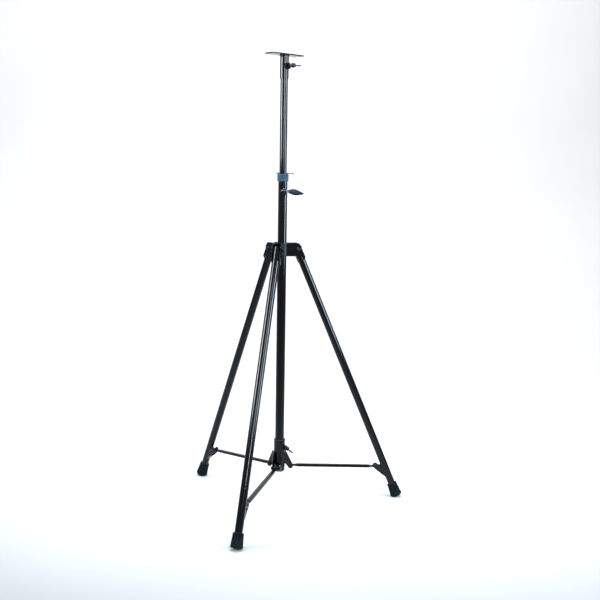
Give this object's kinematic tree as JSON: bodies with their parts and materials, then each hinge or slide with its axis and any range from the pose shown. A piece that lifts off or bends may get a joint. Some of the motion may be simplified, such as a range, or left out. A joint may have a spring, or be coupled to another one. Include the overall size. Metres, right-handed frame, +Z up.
{
  "type": "speaker tripod stand",
  "caption": "Black steel speaker tripod stand: folding legs with braces to a sliding collar, telescopic mast with clamp lever and safety pin, and a turning head with a flat plate.",
  "frame": {"origin": "on the floor directly under the mast axis", "axes": "+Z up along the mast, +X along the long side of the head plate, +Y towards the leg at 90 degrees; the other legs are at 210 and 330 degrees"},
  "size_m": [0.8666, 0.7566, 1.69],
  "materials": {
    "black_paint": "semi-gloss black powder coat on steel",
    "dark_zinc_steel": "blackened zinc plate",
    "bright_zinc_steel": "bright zinc plate",
    "collar_plastic": "moulded blue-grey plastic, vertical ribs",
    "grip_plastic": "moulded dark navy plastic",
    "black_nylon": "moulded nylon",
    "foot_rubber": "matt moulded rubber, fine vertical ribs"
  },
  "bodies": {
    "column": {"main_tube": "black_paint", "tube_end_plug": "black_nylon", "mast_collar": "collar_plastic", "clamp_saddle": "black_paint", "clamp_nut": "black_paint", "yoke_brackets": "black_paint", "yoke_rivets": "dark_zinc_steel", "yoke_pivot_bolts": "dark_zinc_steel", "yoke_pivot_nuts": "dark_zinc_steel"},
    "slider": {"slider_sleeve": "black_paint", "slider_bush": "black_nylon", "slider_brackets": "black_paint", "slider_rivets": "dark_zinc_steel", "slider_nut": "black_paint", "slider_pivot_bolts": "dark_zinc_steel", "slider_pivot_nuts": "dark_zinc_steel"},
    "slider_bolt": {"slider_wing_bolt": "dark_zinc_steel"},
    "brace_rear_body": {"brace_rear": "black_paint"},
    "brace_left_body": {"brace_left": "black_paint"},
    "brace_right_body": {"brace_right": "black_paint"},
    "leg_rear": {"leg_tube_rear": "black_paint", "leg_top_plates_rear": "black_paint", "leg_top_rivet_rear": "dark_zinc_steel", "leg_pivot_bush_rear": "dark_zinc_steel", "leg_bracket_rear": "black_paint", "leg_bracket_pins_rear": "dark_zinc_steel", "rubber_foot_rear": "foot_rubber"},
    "leg_left": {"leg_tube_left": "black_paint", "leg_top_plates_left": "black_paint", "leg_top_rivet_left": "dark_zinc_steel", "leg_pivot_bush_left": "dark_zinc_steel", "leg_bracket_left": "black_paint", "leg_bracket_pins_left": "dark_zinc_steel", "rubber_foot_left": "foot_rubber"},
    "leg_right": {"leg_tube_right": "black_paint", "leg_top_plates_right": "black_paint", "leg_top_rivet_right": "dark_zinc_steel", "leg_pivot_bush_right": "dark_zinc_steel", "leg_bracket_right": "black_paint", "leg_bracket_pins_right": "dark_zinc_steel", "rubber_foot_right": "foot_rubber"},
    "mast": {"mast_tube": "black_paint", "mast_bottom_bush": "black_nylon", "mast_top_plug": "black_nylon"},
    "safety": {"safety_pin": "bright_zinc_steel"},
    "head": {"head_sleeve": "black_paint", "head_plate": "black_paint", "head_nut": "black_paint"},
    "head_bolt": {"head_wing_bolt": "dark_zinc_steel"},
    "lever": {"clamp_screw": "bright_zinc_steel", "lever_hub": "bright_zinc_steel", "lever_grip": "grip_plastic"}
  },
  "joints": [
    {"name": "slider_slide", "type": "slide", "parent": "column", "child": "slider", "axis": [0, 0, 1], "range_m": [0, 0.26074]},
    {"name": "brace_rear_swing", "type": "hinge", "parent": "slider", "child": "brace_rear_body", "pos_m": [0, 0.041, 0.155], "axis": [-1, 0, 0], "range_deg": [0, 83.15]},
    {"name": "leg_rear_fold", "type": "hinge", "parent": "brace_rear_body", "child": "leg_rear", "pos_m": [0, 0.38894, 0.12902], "axis": [-1, 0, 0], "range_deg": [-61.93, 0]},
    {"name": "brace_left_swing", "type": "hinge", "parent": "slider", "child": "brace_left_body", "pos_m": [-0.03551, -0.0205, 0.155], "axis": [0.5, -0.866, 0], "range_deg": [0, 83.15]},
    {"name": "leg_left_fold", "type": "hinge", "parent": "brace_left_body", "child": "leg_left", "pos_m": [-0.33683, -0.19447, 0.12902], "axis": [0.5, -0.866, 0], "range_deg": [-61.93, 0]},
    {"name": "brace_right_swing", "type": "hinge", "parent": "slider", "child": "brace_right_body", "pos_m": [0.03551, -0.0205, 0.155], "axis": [0.5, 0.866, 0], "range_deg": [0, 83.15]},
    {"name": "leg_right_fold", "type": "hinge", "parent": "brace_right_body", "child": "leg_right", "pos_m": [0.33683, -0.19447, 0.12902], "axis": [0.5, 0.866, 0], "range_deg": [-61.93, 0]},
    {"name": "mast_slide", "type": "slide", "parent": "column", "child": "mast", "axis": [0, 0, 1], "range_m": [0, 0.38]},
    {"name": "safety_pin_pull", "type": "slide", "parent": "mast", "child": "safety", "axis": [0.766, -0.6428, 0], "range_m": [0, 0.06]},
    {"name": "head_turn", "type": "hinge", "parent": "mast", "child": "head", "pos_m": [0, 0, 1.64], "axis": [0, 0, 1], "continuous": true},
    {"name": "head_bolt_turn", "type": "hinge", "parent": "head", "child": "head_bolt", "pos_m": [0, -0.03, 1.647], "axis": [0, -1, 0], "range_deg": [0, 360]},
    {"name": "slider_bolt_turn", "type": "hinge", "parent": "slider", "child": "slider_bolt", "pos_m": [0, -0.03, 0.23], "axis": [0, -1, 0], "range_deg": [0, 360]},
    {"name": "lever_turn", "type": "hinge", "parent": "column", "child": "lever", "pos_m": [-0.0159, -0.02544, 1.198], "axis": [-0.5299, -0.848, 0], "range_deg": [0, 180]}
  ],
  "couplings": [
    {"joint": "brace_rear_swing", "follows": "slider_slide", "rad_per_m": 5.5625},
    {"joint": "leg_rear_fold", "follows": "slider_slide", "rad_per_m": -4.142},
    {"joint": "brace_left_swing", "follows": "slider_slide", "rad_per_m": 5.5625},
    {"joint": "leg_left_fold", "follows": "slider_slide", "rad_per_m": -4.142},
    {"joint": "brace_right_swing", "follows": "slider_slide", "rad_per_m": 5.5625},
    {"joint": "leg_right_fold", "follows": "slider_slide", "rad_per_m": -4.142}
  ]
}
